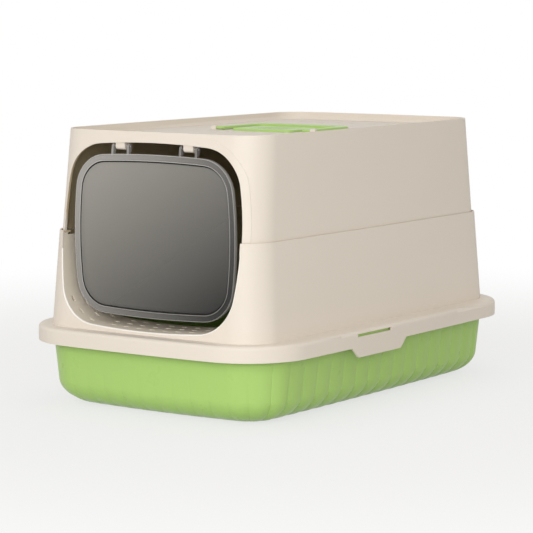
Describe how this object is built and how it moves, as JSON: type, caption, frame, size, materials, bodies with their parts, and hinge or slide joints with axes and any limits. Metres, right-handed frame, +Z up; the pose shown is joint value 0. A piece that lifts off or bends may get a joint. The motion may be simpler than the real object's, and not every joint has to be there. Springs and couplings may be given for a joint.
{
  "type": "hooded litter box",
  "caption": "Fluted litter pan under a two-part tapered hood with a recessed roof, see-through swing door, perforated entry step, folding carry handle and roof filter.",
  "frame": {"origin": "centre of the footprint, on the surface the pan stands on", "axes": "+X across to the right seen from the door, -Y out of the doorway, +Z up"},
  "size_m": [0.398, 0.615, 0.35],
  "materials": {
    "green_plastic": "satin moulded plastic, leaf green",
    "cream_plastic": "satin moulded plastic, warm cream",
    "upper_plastic": "satin moulded plastic, warm cream",
    "step_plastic": "satin moulded plastic, warm cream",
    "clear_plastic": "clear grey moulded plastic",
    "smoked_plastic": "smoked see-through sheet",
    "pin_metal": "plain steel wire",
    "handle_plastic": "satin moulded plastic, leaf green",
    "carbon_foam": "open black foam"
  },
  "bodies": {
    "pan": {"litter_tray": "green_plastic"},
    "lower_hood": {"lower_hood": "cream_plastic", "entry_step": "step_plastic"},
    "upper_hood": {"upper_hood": "upper_plastic"},
    "door": {"door_frame": "clear_plastic", "door_panel": "smoked_plastic", "hinge_pin_left": "pin_metal", "hinge_pin_right": "pin_metal"},
    "handle": {"carry_handle": "handle_plastic"},
    "roof_filter": {"filter_cap": "handle_plastic", "filter_basket": "cream_plastic", "carbon_pad": "carbon_foam"}
  },
  "joints": [
    {"name": "lower_hood_lift", "type": "slide", "parent": "pan", "child": "lower_hood", "axis": [0, 0, 1], "range_m": [0, 0.12]},
    {"name": "upper_hood_lift", "type": "slide", "parent": "lower_hood", "child": "upper_hood", "axis": [0, 0, 1], "range_m": [0, 0.12]},
    {"name": "door_swing", "type": "hinge", "parent": "upper_hood", "child": "door", "pos_m": [0, -0.258, 0.331], "axis": [1, 0, 0], "range_deg": [-80, 80]},
    {"name": "handle_pivot", "type": "hinge", "parent": "upper_hood", "child": "handle", "pos_m": [0, -0.028, 0.3425], "axis": [1, 0, 0], "range_deg": [0, 95]},
    {"name": "filter_lift", "type": "slide", "parent": "upper_hood", "child": "roof_filter", "axis": [0, 0, 1], "range_m": [0, 0.04]}
  ]
}
